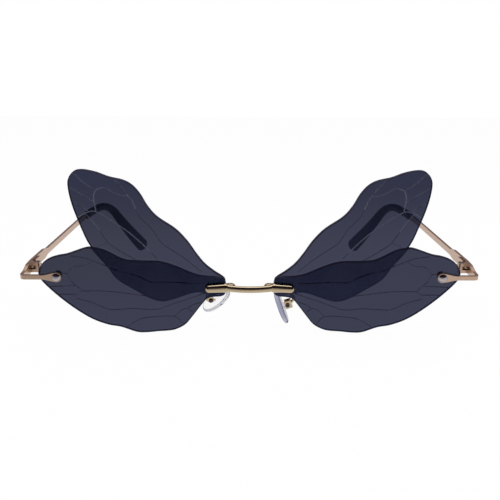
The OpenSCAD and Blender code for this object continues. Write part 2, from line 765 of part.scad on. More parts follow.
// Wire from its foot behind the bar, back past the lens root and down to the pad box
module pad_arm(splay, lean, turn, drop) {
    foot = [arm_x, solder_y, bar_z];
    plate = from_pad([box_half + box_wall, 0, 0.2], splay, lean, turn, drop);
    above = from_pad([box_half + box_wall + 1.2, 0, 1.2], splay, lean, turn, drop);
    route = open_curve([
        foot, foot + [0.1, 1, 0.1], foot + [0.8, 2.1, 0.1], foot + [2.2, 4.1, -0.8],
        foot + [4.6, 6.3, -2], above + [-0.8, 0.4, 1.4], above, plate
    ], 4);
    color(gold) union() {
        loft(wire_rings(route, arm_d));
        pad_frame(splay, lean, turn, drop) difference() {
            translate([-box_half, -box_w / 2, -box_h / 2])
                cube([2 * box_half + box_wall, box_w, box_h]);
            translate([-box_half - 1, -box_w / 2 + box_wall, -box_h])
                cube([2 * box_half + 1, box_w - 2 * box_wall, 2 * box_h]);
            rod(pad_pin_d + 2 * pad_pin_fit, -box_w, box_w);
        }
    }
}

module pad_screw(splay, lean, turn, drop) {
    head_d = 1.5;
    head_h = 0.4;
    color(silver) pad_frame(splay, lean, turn, drop) difference() {
        union() {
            rod(pad_pin_d, -box_w / 2 - 0.1, box_w / 2);
            rod(head_d, -box_w / 2 - head_h, -box_w / 2);
        }
        translate([-head_d, -box_w / 2 - 2 * head_h, -slot_w / 3])
            cube([2 * head_d, head_h * 1.5, slot_w * 2 / 3]);
    }
}

// Soft pad: a rounded drop shape, crowned on its contact face
pad_slices = [[0, 0.9], [0.12, 0.97], [0.35, 1], [0.6, 0.95], [0.8, 0.82], [0.93, 0.6], [1, 0.3]];
function pad_ring(share, size) = [
    for (a = [0 : 15 : 345]) [
        -pad_back - pad_t * share,
        pad_w / 2 * size * cos(a) * (1 - 0.14 * sin(a)),
        -pad_low + pad_len / 2 * size * sin(a)
    ]
];

module nose_pad(splay, lean, turn, drop) {
    color(clear) pad_frame(splay, lean, turn, drop) difference() {
        loft([for (s = pad_slices) pad_ring(s[0], s[1])]);
        translate([-pad_back - insert_t - insert_fit, 0, 0]) rotate([0, 90, 0])
            cylinder(d = insert_d + 2 * insert_fit, h = 3);
    }
}

module pad_insert(splay, lean, turn, drop) {
    tab_r = 0.75;
    color(silver) pad_frame(splay, lean, turn, drop) difference() {
        union() {
            translate([-pad_back - insert_t, 0, 0]) rotate([0, 90, 0])
                cylinder(d = insert_d, h = insert_t);
            translate([-pad_back - 0.1, -tab_w / 2, -tab_r]) cube([pad_back + 0.1, tab_w, 2 * tab_r]);
            rod(2 * tab_r, -tab_w / 2, tab_w / 2);
        }
        rod(pad_pin_d + 2 * pad_pin_fit, -box_w, box_w);
    }
}

stand() bridge();
stand() stud_bushings();
stand() stud_washers();
stand() stud_nuts();
stand() left() forewing();  // left_forewing
stand() forewing();  // right_forewing
stand() left() hindwing();  // left_hindwing
stand() hindwing();  // right_hindwing
stand() left() endpiece();  // left_endpiece
stand() endpiece();  // right_endpiece
stand() left() lens_screw();  // left_lens_screw
stand() lens_screw();  // right_lens_screw
stand() lens_bushings();
stand() lens_washers();
stand() lens_nuts();
stand() left() pad_arm(left_splay, left_lean, left_turn, left_drop);  // left_pad_arm
stand() pad_arm(right_splay, right_lean, right_turn, right_drop);  // right_pad_arm
stand() left() pad_screw(left_splay, left_lean, left_turn, left_drop);  // left_pad_screw
stand() pad_screw(right_splay, right_lean, right_turn, right_drop);  // right_pad_screw
stand() left() nose_pad(left_splay, left_lean, left_turn, left_drop);  // left_nose_pad
stand() nose_pad(right_splay, right_lean, right_turn, right_drop);  // right_nose_pad
stand() left() pad_insert(left_splay, left_lean, left_turn, left_drop);  // left_pad_insert
stand() pad_insert(right_splay, right_lean, right_turn, right_drop);  // right_pad_insert
stand() left() temple();  // left_temple
stand() temple();  // right_temple
stand() left() temple_tip();  // left_temple_tip
stand() temple_tip();  // right_temple_tip
stand() left() hinge_screw();  // left_hinge_screw
stand() hinge_screw();  // right_hinge_screw
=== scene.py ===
"""Rimless sunglasses with wing-shaped tinted sheets, seen from the front and a little above."""

import json
import math

import bmesh
import bpy
import numpy as np
from mathutils import Matrix, Vector
from mathutils.geometry import delaunay_2d_cdt


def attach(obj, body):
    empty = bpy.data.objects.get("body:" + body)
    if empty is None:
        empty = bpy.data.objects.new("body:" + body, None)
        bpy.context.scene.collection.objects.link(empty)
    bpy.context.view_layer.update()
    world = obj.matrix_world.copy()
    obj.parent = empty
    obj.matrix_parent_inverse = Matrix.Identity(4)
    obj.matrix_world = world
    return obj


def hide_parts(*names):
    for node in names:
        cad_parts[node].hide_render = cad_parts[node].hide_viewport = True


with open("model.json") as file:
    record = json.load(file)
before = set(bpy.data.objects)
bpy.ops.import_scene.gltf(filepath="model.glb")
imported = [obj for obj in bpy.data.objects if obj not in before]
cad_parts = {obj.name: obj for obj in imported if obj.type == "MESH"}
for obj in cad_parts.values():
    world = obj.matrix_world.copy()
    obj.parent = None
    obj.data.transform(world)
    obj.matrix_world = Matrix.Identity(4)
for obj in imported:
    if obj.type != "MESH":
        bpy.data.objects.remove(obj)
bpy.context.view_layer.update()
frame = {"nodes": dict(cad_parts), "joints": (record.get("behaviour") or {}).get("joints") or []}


# Camera
# It stands a quarter of a metre in front of the sheets, nearly square on to them and twenty
# degrees above. Its place is given in the lens frame: x across, y back and z up the sheets.
# The pin of the right hinge gives that frame, by way of the frame in which the temples lie.
mm = 0.001
face_tilt = math.radians(2.7)
end_z = 4.4
hinge_x = 73.0
hinge_y = 10.3
right_hinge = next(j for j in frame["joints"] if j["name"] == "right_hinge")
across = Vector((1, 0, 0))
hinge_up = Vector(right_hinge["axis"])
hinge_back = hinge_up.cross(across)
temple_origin = Vector(right_hinge["pos_m"]) - hinge_x * mm * across - hinge_y * mm * hinge_back
temple_turn = Matrix((across, hinge_back, hinge_up)).transposed().to_4x4()
temple_frame = Matrix.Translation(temple_origin) @ temple_turn
lens_frame = (
    temple_frame @ Matrix.Rotation(face_tilt, 4, "X") @ Matrix.Translation((0, 0, -end_z * mm))
)

aim = Vector((0.0, 0.0, 13.83)) * mm
camera_distance = 245.0 * mm
look_down = math.radians(20.0)
look_right = math.radians(0.5)
roll = math.radians(0.32)
focal_length = 53.86
film_width = 36.0
nearest_seen = 0.01
ahead = Vector(
    (
        math.sin(look_right) * math.cos(look_down),
        math.cos(look_right) * math.cos(look_down),
        -math.sin(look_down),
    )
)
level = ahead.cross(Vector((0, 0, 1))).normalized()
above = level.cross(ahead)
camera_axes = Matrix(
    (
        math.cos(roll) * level + math.sin(roll) * above,
        math.cos(roll) * above - math.sin(roll) * level,
        -ahead,
    )
).transposed()
camera_data = bpy.data.cameras.new("camera")
camera_data.lens = focal_length
camera_data.sensor_width = film_width
camera_data.clip_start = nearest_seen
camera = bpy.data.objects.new("camera", camera_data)
camera.rotation_mode = "QUATERNION"
camera.location = lens_frame @ (aim - camera_distance * ahead)
camera.rotation_quaternion = (lens_frame.to_3x3() @ camera_axes).to_quaternion()
bpy.context.scene.collection.objects.link(camera)
bpy.context.scene.camera = camera
bpy.context.scene.view_settings.view_transform = "Standard"


# White table and background
# A plain white table top runs back into a white background; seen directly, in the metal
# or through the sheets it is white, and it keeps a faint shadow of the sunglasses. In front,
# past the edge of the picture, it grows darker, and only reflections show that.
table_half = 1.5
table_z = -0.0001
paper_colour = (0.8, 0.8, 0.8)
paper_shine = 0.97
darker_towards = (-0.25, -1.0, 0.0)
dark_from = 0.085
dark_to = 0.17
darkest = 0.3
sky_from = 0.72
sky_to = 0.88
sky_strength = 2.0
room_colour = (0.96, 0.97, 1.0)
room_strength = 0.55


def new_material(name):
    """An empty node material, with its tree and its output node."""
    material = bpy.data.materials.new(name)
    material.use_nodes = True
    tree = material.node_tree
    tree.nodes.clear()
    return material, tree, tree.nodes.new("ShaderNodeOutputMaterial")


def coloured(tree, kind, colour):
    """A shader node of one kind with one colour."""
    shader = tree.nodes.new(kind)
    shader.inputs["Color"].default_value = (*colour, 1)
    return shader


def mixed_surface(tree, out, factor, first, second):
    """Two shaders mixed by a factor, the first at 0 and the second at 1, joined to the
    output."""
    mix = tree.nodes.new("ShaderNodeMixShader")
    tree.links.new(factor, mix.inputs[0])
    tree.links.new(first.outputs[0], mix.inputs[1])
    tree.links.new(second.outputs[0], mix.inputs[2])
    tree.links.new(mix.outputs[0], out.inputs["Surface"])


def white_for_the_eye(tree):
    """1 where a ray comes from the camera, a mirror or a clear piece, and 0 for the light
    that falls on the object."""
    path = tree.nodes.new("ShaderNodeLightPath")
    either = path.outputs["Is Camera Ray"]
    for ray in ("Is Glossy Ray", "Is Transmission Ray"):
        larger = tree.nodes.new("ShaderNodeMath")
        larger.operation = "MAXIMUM"
        tree.links.new(either, larger.inputs[0])
        tree.links.new(path.outputs[ray], larger.inputs[1])
        either = larger.outputs[0]
    return either


def mirror_ray(tree):
    """1 where a ray was mirrored last, and 0 where it went straight or through a clear piece."""
    path = tree.nodes.new("ShaderNodeLightPath")
    mirrored = tree.nodes.new("ShaderNodeMath")
    mirrored.operation = "SUBTRACT"
    mirrored.use_clamp = True
    tree.links.new(path.outputs["Is Glossy Ray"], mirrored.inputs[0])
    tree.links.new(path.outputs["Is Transmission Ray"], mirrored.inputs[1])
    return mirrored.outputs[0]


def for_mirrors_alone(tree, value):
    """The value for a ray that was mirrored last, and 1 for all other rays."""
    choice = tree.nodes.new("ShaderNodeMix")
    choice.inputs["A"].default_value = 1.0
    tree.links.new(mirror_ray(tree), choice.inputs["Factor"])
    tree.links.new(value, choice.inputs["B"])
    return choice.outputs["Result"]


def spread(tree, value, low, high, at_low, at_high):
    """The node that carries a value in a straight line from the range between low and high
    to the range between at_low and at_high, and holds it at both ends."""
    span = tree.nodes.new("ShaderNodeMapRange")
    span.inputs["From Min"].default_value = low
    span.inputs["From Max"].default_value = high
    span.inputs["To Min"].default_value = at_low
    span.inputs["To Max"].default_value = at_high
    tree.links.new(value, span.inputs["Value"])
    return span


def coordinate(tree, kind, axis):
    """One coordinate of the shaded point, or of the direction in the background."""
    place = tree.nodes.new("ShaderNodeTexCoord")
    parts = tree.nodes.new("ShaderNodeSeparateXYZ")
    tree.links.new(place.outputs[kind], parts.inputs[0])
    return parts.outputs[axis]


def white_paper():
    """Matt paper for the light on the object and plain white for the eye. For mirror rays
    its brightness falls in a straight line with the distance in one direction."""
    material, tree, out = new_material("white_paper")
    lit = coloured(tree, "ShaderNodeBsdfDiffuse", paper_colour)
    plain = coloured(tree, "ShaderNodeEmission", (1, 1, 1))
    share = tree.nodes.new("ShaderNodeMath")
    share.operation = "MULTIPLY"
    share.inputs[1].default_value = paper_shine
    tree.links.new(white_for_the_eye(tree), share.inputs[0])
    mixed_surface(tree, out, share.outputs[0], lit, plain)
    place = tree.nodes.new("ShaderNodeTexCoord")
    forward = tree.nodes.new("ShaderNodeVectorMath")
    forward.operation = "DOT_PRODUCT"
    forward.inputs[1].default_value = darker_towards
    tree.links.new(place.outputs["Object"], forward.inputs[0])
    fall = spread(tree, forward.outputs["Value"], dark_from, dark_to, 1.0, darkest)
    strength = for_mirrors_alone(tree, fall.outputs["Result"])
    tree.links.new(strength, plain.inputs["Strength"])
    return material


def white_room():
    """A white background for the eye and a pale light for the object. For mirror rays its
    brightness grows in a straight line with the upward part of their direction."""
    world = bpy.data.worlds.new("white_room")
    world.use_nodes = True
    tree = world.node_tree
    tree.nodes.clear()
    out = tree.nodes.new("ShaderNodeOutputWorld")
    seen = coloured(tree, "ShaderNodeBackground", (1, 1, 1))
    height = coordinate(tree, "Generated", "Z")
    overhead = spread(tree, height, sky_from, sky_to, 1.0, sky_strength)
    strength = for_mirrors_alone(tree, overhead.outputs["Result"])
    tree.links.new(strength, seen.inputs["Strength"])
    fill = coloured(tree, "ShaderNodeBackground", room_colour)
    fill.inputs["Strength"].default_value = room_strength
    mixed_surface(tree, out, white_for_the_eye(tree), fill, seen)
    return world


def surface_object(name, points, faces, material):
    """A mesh object from an array of points in metres and a list of faces."""
    mesh = bpy.data.meshes.new(name)
    mesh.from_pydata(points, [], faces)
    mesh.materials.append(material)
    made = bpy.data.objects.new(name, mesh)
    bpy.context.scene.collection.objects.link(made)
    return made


table_corners = [
    (-table_half, -table_half, table_z),
    (table_half, -table_half, table_z),
    (table_half, table_half, table_z),
    (-table_half, table_half, table_z),
]
surface_object("table_top", table_corners, [(0, 1, 2, 3)], white_paper())
bpy.context.scene.world = white_room()


# Lamps and dark cards
# One broad lamp above and one at each side of the camera. Dark cards stand round the table,
# nearly black in front and grey at the back, as in a jeweller's tent, and only mirror
# reflections show them.
lamp_aim = Vector((0, 0, 0.03))
card_reach = 1.2
card_low = math.radians(6.0)
card_high_back = math.radians(48.0)
card_high_front = math.radians(85.0)
card_columns = 49
card_rows = 13
card_front_tone = (0.03, 0.018, 0.03)
card_back_tone = (0.28, 0.23, 0.24)
card_shade_y = 0.3


def lamp(name, place, size, power):
    """A square area lamp at a place, turned to the middle of the object. No reflection
    shows it."""
    light = bpy.data.lights.new(name, "AREA")
    light.size = size
    light.energy = power
    holder = bpy.data.objects.new(name, light)
    holder.rotation_mode = "QUATERNION"
    holder.location = place
    holder.rotation_quaternion = (lamp_aim - Vector(place)).to_track_quat("-Z", "Y")
    holder.visible_glossy = False
    bpy.context.scene.collection.objects.link(holder)


def colour_between(tree, factor, first, second):
    """A colour between two others, the first at a factor of 0 and the second at 1."""
    blend = tree.nodes.new("ShaderNodeMix")
    blend.data_type = "RGBA"
    blend.inputs["A"].default_value = (*first, 1)
    blend.inputs["B"].default_value = (*second, 1)
    tree.links.new(factor, blend.inputs["Factor"])
    return blend.outputs["Result"]


def dark_card():
    """A card that is there for mirror rays alone, blended along y from the tone of its front
    to the tone of its back."""
    material, tree, out = new_material("black_card")
    back = coordinate(tree, "Object", "Y")
    share = spread(tree, back, -card_shade_y, card_shade_y, 0.0, 1.0)
    tone = colour_between(tree, share.outputs["Result"], card_front_tone, card_back_tone)
    matt = tree.nodes.new("ShaderNodeEmission")
    tree.links.new(tone, matt.inputs["Color"])
    gap = tree.nodes.new("ShaderNodeBsdfTransparent")
    mixed_surface(tree, out, mirror_ray(tree), gap, matt)
    return material


def card_wall():
    """Points and quads of a band of a sphere round the table. Its foot stands at one angle
    above the table, and its top rises to the front by a clipped sine wave of the angle
    round the table."""
    wave_mean = 0.5
    wave_height = 0.7
    around = np.linspace(0, 2 * math.pi, card_columns)[None, :]
    share_up = np.linspace(0, 1, card_rows)[:, None]
    front_share = np.clip(wave_mean - wave_height * np.sin(around), 0, 1)
    card_top = card_high_back + (card_high_front - card_high_back) * front_share
    climb = card_low + (card_top - card_low) * share_up
    points = card_reach * np.stack(
        [
            np.cos(climb) * np.cos(around),
            np.cos(climb) * np.sin(around),
            np.sin(climb),
        ],
        axis=-1,
    )
    rows = np.arange(card_rows - 1)[:, None]
    first = (rows * card_columns + np.arange(card_columns - 1)).ravel()
    above_first = first + card_columns
    quads = np.stack([first, first + 1, above_first + 1, above_first], axis=1)
    return points.reshape(-1, 3), quads.tolist()


lamp("top_lamp", (0.0, -0.1, 0.7), size=0.5, power=2.2)
lamp("left_lamp", (-0.55, -0.5, 0.35), size=0.3, power=0.9)
lamp("right_lamp", (0.55, -0.5, 0.35), size=0.3, power=0.9)
cards = surface_object("black_cards", *card_wall(), dark_card())
cards.visible_camera = False
cards.visible_diffuse = False
cards.visible_transmission = False
cards.visible_shadow = False


# Tinted wing sheets
# Each side has a hindwing sheet in front and a forewing sheet behind it, cut from flat smoke
# blue sheet, with ground edges and with the wing veins engraved in the front face. They are
# drawn in millimetres in the lens frame, for the right side, and mirrored for the left.
sides = (("left", -1), ("right", 1))
sheet_t = 1.8
root_x = 8.0
edge_bevel = 0.2
vein_half = 0.18
vein_depth = 0.12
hole_r = 0.98
bar_z = 0.6
pod_lap = 0.1
pod_slope = math.tan(math.radians(3.3))
stud_in = 2.0
stud_pitch = 3.2
stud_places = [
    (root_x + along, bar_z - (along + pod_lap) * pod_slope)
    for along in (stud_in, stud_in + stud_pitch)
]
eye_place = (63.9, end_z)

# Reach from the root, rise above it and drop below it
fore_size = (50.5, 40.0, 5.2)
hind_size = (62.0, 14.2, 16.2)

# Points to a stretch of outline or of vein, and sides to a hole
outline_steps = 8
vein_steps = 5
hole_sides = 40
crease_angle = math.radians(20)

# Material slots of a sheet: its faces, its ground edge, its engraved lines in painted shade and
# those in painted light
face_slot, edge_slot, shaded_line_slot, lit_line_slot = range(4)

fore_points = [
    [0.3, -2], [0, 0], [0.2, 1.9], [1, 3.3], [4, 5.4], [7, 8], [9.6, 11.4], [12.5, 15.8],
    [16.3, 20], [22, 24.1], [25, 27.7], [27.2, 31.7], [29.6, 34.6], [32.5, 36.3], [37, 37.4],
    [41, 38.9], [45, 39.7], [47.6, 39.3], [49.4, 37.4], [50, 34.5], [49.2, 28.7], [47, 21.3],
    [44.2, 14.3], [39, 7.3], [35.8, 2.7], [30, -1.2], [25, -4.2], [21, -5.2], [17, -4.2],
    [10, -1.9], [4, -2.6],
]
hind_points = [
    [0, -1], [0, 1], [0.3, 3.3], [1.5, 4], [6, 4.1], [10, 4.8], [16, 7.4], [19.5, 8.7],
    [23, 9.4], [30, 9.6], [34, 10.2], [40, 13.3], [43.5, 14.2], [46, 14.2], [52, 12.1],
    [55, 11.5], [58, 10.5], [60.3, 8.9], [61.7, 6.8], [62, 4.7], [61.2, 2.9], [59, 0.2],
    [55, -3.8], [50, -8], [45, -11.3], [40, -13.3], [35.5, -14.2], [30.5, -16], [27, -16.2],
    [23, -15.8], [18.5, -15.4], [15.7, -14.4], [13.5, -12.9], [11.5, -10.4], [7.3, -4.7],
    [5.8, -3.4], [4, -3], [1.8, -2.8], [0.5, -2.2],
]
# Forewing veins whose grooves get the lit copy of the line material: painted light
fore_lit_veins = [
    [[47.5, 38.4], [45, 35.8], [41.3, 33.1]],
    [[41.3, 33.1], [39.3, 33.9], [37.8, 33.8], [35.9, 32.6], [33.5, 31.5], [31.1, 31.2]],
    [[34.9, 36.4], [32.9, 34.1], [31.3, 31.7], [29.9, 29.8], [28.8, 27]],
    [[49.2, 34.1], [45.8, 31.8], [42, 29.3]],
    [[48.6, 29.5], [44.2, 26.4]],
    [[41.3, 33.1], [41.9, 31.2], [41.9, 29.3], [41.5, 26.4]],
    [[47.3, 24.1], [45.3, 25.4], [43.7, 26], [42.2, 26.2], [40.3, 25.4], [36.5, 22.8],
     [32.4, 19.9], [28.3, 16.2], [24.5, 12.2]],
    [[44.8, 25.2], [42.7, 22.5], [40.7, 19.6]],
]
fore_veins = [
    [[28.8, 27], [27, 23.6], [24.1, 20.7], [22.3, 17.8], [20.6, 15.2], [17.7, 13.1],
     [12.7, 9.5], [8.1, 5.4]],
    [[24.5, 12.2], [22.6, 10.1]],
    [[40.7, 19.6], [38.3, 15.7], [35, 13], [31.6, 10.8], [29.3, 9.4]],
    [[38.3, 15.7], [41.8, 14.1]],
]
hind_veins = [
    [[51, 11.6], [46.7, 11], [43.8, 10], [42.5, 9.4], [38.6, 7.7], [36.3, 6.6], [31.3, 5.3],
     [28, 4], [24.7, 2.4], [19.6, 2.4], [14.5, 2.2], [8.6, 1.9]],
    [[43.8, 9.9], [46.6, 8.3], [49.6, 8], [51.4, 6.9], [52, 5.6]],
    [[54.2, 5.6], [52.4, 5.1], [51.1, 2.5], [48.1, -0.4]],
    [[51.3, -5.6], [50.5, -3], [49.3, -1.7], [48.1, -1], [43.5, -0.8], [37.7, -1.1],
     [31.6, -1.9], [26.9, -2.6]],
    [[49.8, -3.6], [44.8, -5.1], [39.5, -7.5], [35.4, -7.5], [30.5, -7.2], [25.7, -7.6],
     [22.3, -7.3], [18.1, -5.6], [12.9, -3.7], [7.1, -1.6]],
    [[44.8, -5.1], [46, -8.6]],
    [[39.5, -7.5], [40.2, -11.2]],
    [[33.2, -13.7], [29.3, -11.3], [25.2, -10.3], [17.6, -10.1], [14.7, -12.6]],
    [[17.6, -10.1], [15.1, -7.8], [13, -7.2], [11.3, -8.4]],
    [[13, -7.2], [10.9, -5.7], [8.6, -5]],
    [[58.2, 0.7], [50.2, 1.1]],
    [[55.4, -2.1], [50.3, -2.1]],
]


def smooth_line(points, steps, closed):
    """A Catmull-Rom curve through the points: between b and c, with a before and d after,
    the point at t is half of 2b + (c-a)t + (2a-5b+4c-d)t^2 + (3b-a-3c+d)t^3."""
    p = np.asarray(points, float)
    n = len(p)
    first = np.arange(n if closed else n - 1)
    if closed:
        a, b, c, d = (p[(first + k) % n][:, None] for k in (-1, 0, 1, 2))
    else:
        a, b, c, d = (p[np.clip(first + k, 0, n - 1)][:, None] for k in (-1, 0, 1, 2))
    t = (np.arange(steps) / steps)[None, :, None]
    line = 0.5 * (
        2 * b + (c - a) * t + (2 * a - 5 * b + 4 * c - d) * t**2 + (3 * b - a - 3 * c + d) * t**3
    )
    line = line.reshape(-1, p.shape[1])
    return line if closed else np.vstack([line, p[-1]])


def side_step(line, closed):
    """Unit steps to the right of a line at each of its points, square to the chord between
    the two neighbours."""
    if closed:
        chord = np.roll(line, -1, axis=0) - np.roll(line, 1, axis=0)
    else:
        padded = np.vstack([line[:1], line, line[-1:]])
        chord = padded[2:] - padded[:-2]
    chord /= np.linalg.norm(chord, axis=1)[:, None]
    return np.stack([chord[:, 1], -chord[:, 0]], axis=1)


def wing_place(points, outline, size):
    """Points of a wing stretched so that its outline has the sheet's reach, rise and drop,
    and set at the lens root."""
    p = np.asarray(points, float)
    whole = np.asarray(outline, float)
    reach, rise, drop = size
    high = rise / whole[:, 1].max()
    low = -drop / whole[:, 1].min()
    from_root = root_x + p[:, 0] * reach / whole[:, 0].max()
    return np.stack([from_root, p[:, 1] * np.where(p[:, 1] > 0, high, low)], axis=1)


def groove_lines(middle):
    """Three lines along a vein: its middle, and its two sides half a groove's width away.
    All three meet at both ends, half a width past the vein."""
    step = vein_half * side_step(middle, closed=False)
    ends = []
    for near, far in ((middle[0], middle[1]), (middle[-1], middle[-2])):
        ends.append(near + vein_half * (near - far) / math.dist(near, far))
    return [np.vstack([ends[:1], middle + shift, ends[1:]]) for shift in (0, step, -step)]


def flat_face(loops, lines, holes):
    """Triangles of a flat face between its outer loop and its round holes, cut along
    lines: a constrained Delaunay triangulation of all the points."""
    inside_the_loops = 1
    snap = 1e-7
    hole_slack = 1.001
    points = []
    edges = []
    for loop in loops:
        start = len(points)
        points += loop.tolist()
        edges += [(start + k, start + (k + 1) % len(loop)) for k in range(len(loop))]
    for line in lines:
        start = len(points)
        points += line.tolist()
        edges += [(start + k, start + k + 1) for k in range(len(line) - 1)]
    corners, _, cells, *_ = delaunay_2d_cdt(
        [Vector(p) for p in points], edges, [], inside_the_loops, snap
    )
    flat = np.array([corner[:] for corner in corners])
    triangles = np.array([cell[:3] for cell in cells])
    keep = np.ones(len(triangles), bool)
    for centre in holes:
        on_hole = np.linalg.norm(flat - np.array(centre), axis=1) < hole_r * hole_slack
        keep &= ~on_hole[triangles].all(axis=1)
    return flat, triangles[keep]


def distance_to_lines(points, lines):
    """Distance from each point to the nearest of all the segments of the lines."""
    a = np.vstack([line[:-1] for line in lines])
    b = np.vstack([line[1:] for line in lines])
    along = b - a
    gap = points[:, None] - a[None]
    t = np.clip((gap * along).sum(-1) / (along**2).sum(-1), 0, 1)
    return np.linalg.norm(gap - t[..., None] * along, axis=-1).min(axis=1)


def set_back(flat, y):
    """Points of a flat figure set at the distance y behind the front of the sheets."""
    return np.stack([flat[:, 0], np.broadcast_to(y, len(flat)), flat[:, 1]], axis=1)


def ring_between(first, second):
    """Quads between two closed loops of as many points each."""
    n = len(first)
    k = np.arange(n)
    after = (k + 1) % n
    return np.vstack([first, second]), np.stack([k, after, after + n, k + n], axis=1)


def in_lens_frame(points, side):
    """Points in millimetres for the right side, in the lens frame, brought to their place
    in metres; side is 1 for the right and -1 for its mirror image."""
    place = np.array(lens_frame)
    moved = np.asarray(points, float) * [side * mm, mm, mm]
    return moved @ place[:3, :3].T + place[:3, 3]


def joined_mesh(name, patches, side, materials):
    """One closed mesh from patches of points in millimetres, faces and a material each,
    with shared edges merged, all faces outwards and the ground edge shaded smooth."""
    merge_gap = 0.0005
    points = []
    faces = []
    slots = []
    count = 0
    for patch_points, patch_faces, slot in patches:
        points.append(patch_points)
        faces += (np.asarray(patch_faces) + count).tolist()
        slots += [slot] * len(patch_faces)
        count += len(patch_points)
    mesh = bpy.data.meshes.new(name)
    mesh.from_pydata(in_lens_frame(np.vstack(points), side), [], faces)
    mesh.polygons.foreach_set("material_index", slots)
    for material in materials:
        mesh.materials.append(material)
    work = bmesh.new()
    work.from_mesh(mesh)
    bmesh.ops.remove_doubles(work, verts=work.verts, dist=merge_gap * mm)
    bmesh.ops.recalc_face_normals(work, faces=work.faces)
    work.to_mesh(mesh)
    work.free()
    on_edge = [f.material_index == edge_slot for f in mesh.polygons]
    mesh.polygons.foreach_set("use_smooth", on_edge)
    mesh.set_sharp_from_angle(angle=crease_angle)
    made = bpy.data.objects.new(name, mesh)
    bpy.context.scene.collection.objects.link(made)
    return made


def wing_sheet(name, side, points, size, veins, lit_veins, front, holes, sheet):
    """A flat sheet with the wing's outline: a front face with V-shaped grooves along the
    veins, a back face, a bevelled edge round both and a plain wall between them. At a
    distance from its middle line a groove is as deep as its full depth times
    1 - distance / half width."""
    outline = smooth_line(wing_place(points, points, size), outline_steps, closed=True)
    inner = outline + edge_bevel * side_step(outline, closed=True)
    turn = np.linspace(0, 2 * math.pi, hole_sides, endpoint=False)
    circle = hole_r * np.stack([np.cos(turn), np.sin(turn)], axis=1)
    circles = [np.array(hole) + circle for hole in holes]
    middles = [
        smooth_line(wing_place(vein, points, size), vein_steps, closed=False)
        for vein in veins + lit_veins
    ]
    lines = [line for middle in middles for line in groove_lines(middle)]

    flat, triangles = flat_face([inner] + circles, lines, holes)
    groove = vein_depth * np.clip(1 - distance_to_lines(flat, middles) / vein_half, 0, 1)
    face = set_back(flat, front + groove)
    centres = flat[triangles].mean(axis=1)
    engraved = distance_to_lines(centres, middles) < vein_half
    # Triangles of the lit veins, which take the painted light of the lit line material
    pale = np.zeros(len(triangles), bool)
    if lit_veins:
        pale = distance_to_lines(centres, middles[len(veins) :]) < vein_half
    patches = [
        (face, triangles[~engraved], face_slot),
        (face, triangles[engraved & ~pale], shaded_line_slot),
        (face, triangles[pale], lit_line_slot),
    ]

    back = front + sheet_t
    flat, triangles = flat_face([inner] + circles, [], holes)
    patches.append((set_back(flat, back), triangles, face_slot))
    levels = [
        (inner, front),
        (outline, front + edge_bevel),
        (outline, back - edge_bevel),
        (inner, back),
    ]
    for (near, y_near), (far, y_far) in zip(levels, levels[1:]):
        wall = ring_between(set_back(near, y_near), set_back(far, y_far))
        patches.append((*wall, edge_slot))
    for circle in circles:
        wall = ring_between(set_back(circle, front), set_back(circle, back))
        patches.append((*wall, edge_slot))
    materials = [sheet, ground_edge, shaded_engraved_line, lit_engraved_line]
    return joined_mesh(name, patches, side, materials)


def principled(tree, out, **values):
    """A Principled shader with constant values on its sockets, joined to the output."""
    shader = tree.nodes.new("ShaderNodeBsdfPrincipled")
    for socket, value in values.items():
        shader.inputs[socket.replace("_", " ")].default_value = value
    tree.links.new(shader.outputs[0], out.inputs["Surface"])
    return shader


def height_blend(tree, low, high, low_colour, high_colour):
    """A colour that changes by a smooth step between two heights above the table."""
    height = coordinate(tree, "Object", "Z")
    share = spread(tree, height, low, high, 0.0, 1.0)
    share.interpolation_type = "SMOOTHSTEP"
    return colour_between(tree, share.outputs["Result"], low_colour, high_colour)


def smoke_sheet(name, low_colour, high_colour):
    """Polished sheet that keeps back most of the light, with a blue cast in what it reflects, and
    a colour that changes a little from its foot to its top: painted shade, standing in for a
    reflection that changes with height."""
    sheet_shade_low = 0.028
    sheet_shade_high = 0.056
    material, tree, out = new_material(name)
    shader = principled(
        tree,
        out,
        Roughness=0.0,
        IOR=1.5,
        Transmission_Weight=1.0,
        Specular_Tint=(0.27, 0.32, 0.72, 1),
    )
    # Painted shade: the sheet's colour changes with the height above the table.
    tint = height_blend(tree, sheet_shade_low, sheet_shade_high, low_colour, high_colour)
    tree.links.new(tint, shader.inputs["Base Color"])
    return material


def cut_line(name, index, tint, gloss):
    """The two clear faces of a groove, which tint what is seen through them; the tint and gloss
    given paint the groove's shade or its light.
    """
    material, tree, out = new_material(name)
    principled(
        tree,
        out,
        Roughness=0.12,
        IOR=index,
        Transmission_Weight=1.0,
        Specular_Tint=(*gloss, 1),
        Base_Color=(*tint, 1),
    )
    return material


def ground_sheet_edge():
    """The matt ground edge, a little darker towards the foot of the sheets: painted shade. For
    mirror rays alone it glows pale grey, painted light, so that a sheet doesn't mirror the rim
    that stands on it as a dark line."""
    edge_shade_low = 0.030
    edge_shade_high = 0.045
    material, tree, out = new_material("ground_sheet_edge")
    shader = principled(
        tree,
        out,
        Roughness=0.5,
        Specular_IOR_Level=0.12,
        Emission_Color=(0.9, 0.9, 0.9, 1),
    )
    # Painted shade: the edge is darker towards the foot of the sheets.
    tint = height_blend(tree, edge_shade_low, edge_shade_high, (0.010, 0.009, 0.024), (0.020, 0.018, 0.042))
    tree.links.new(tint, shader.inputs["Base Color"])
    # Painted light: a pale glow that only mirror rays see.
    tree.links.new(mirror_ray(tree), shader.inputs["Emission Strength"])
    return material


